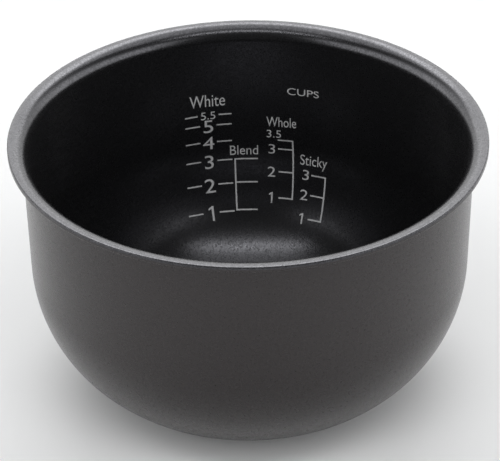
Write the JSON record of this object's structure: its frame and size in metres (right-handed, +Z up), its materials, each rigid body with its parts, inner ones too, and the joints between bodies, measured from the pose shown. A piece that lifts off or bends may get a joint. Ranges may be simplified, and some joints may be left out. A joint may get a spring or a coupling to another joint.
{
  "type": "rice cooker inner pan",
  "caption": "Round deep aluminium pan with a curled rim, grey coated outside, black non-stick inside, with printed water-level scales on one inner wall.",
  "frame": {"origin": "centre of the flat base, on its underside", "axes": "+Z up along the pan's axis to the open rim; the printed scales are on the inside of the wall at +Y; +X to the right of a reader who looks along +Y"},
  "size_m": [0.21, 0.21, 0.124],
  "materials": {
    "aluminium": "bare pressed aluminium, fine turned grain",
    "grey_coat": "satin warm-grey heat-resistant coat with fine metallic flake",
    "black_lining": "semi-gloss black non-stick lining with fine pale flecks",
    "scale_print": "thin matt grey printed ink"
  },
  "bodies": {
    "root": {"brown_bracket": "scale_print", "brown_figure_1": "scale_print", "brown_figure_2": "scale_print", "brown_figure_3": "scale_print", "brown_figure_3_5_half": "scale_print", "brown_figure_3_5_point": "scale_print", "brown_figure_3_5_whole": "scale_print", "mixed_bracket": "scale_print", "nonstick_lining": "black_lining", "outer_coating": "grey_coat", "pan_body": "aluminium", "sticky_bracket": "scale_print", "sticky_figure_1": "scale_print", "sticky_figure_2": "scale_print", "sticky_figure_3": "scale_print", "white_figure_1": "scale_print", "white_figure_2": "scale_print", "white_figure_3": "scale_print", "white_figure_4": "scale_print", "white_figure_5": "scale_print", "white_figure_5_5_half": "scale_print", "white_figure_5_5_point": "scale_print", "white_figure_5_5_whole": "scale_print", "white_line_1_left": "scale_print", "white_line_1_right": "scale_print", "white_line_2_left": "scale_print", "white_line_2_right": "scale_print", "white_line_3_left": "scale_print", "white_line_3_right": "scale_print", "white_line_4_left": "scale_print", "white_line_4_right": "scale_print", "white_line_5_5_left": "scale_print", "white_line_5_5_right": "scale_print", "white_line_5_left": "scale_print", "white_line_5_right": "scale_print"}
  },
  "joints": []
}
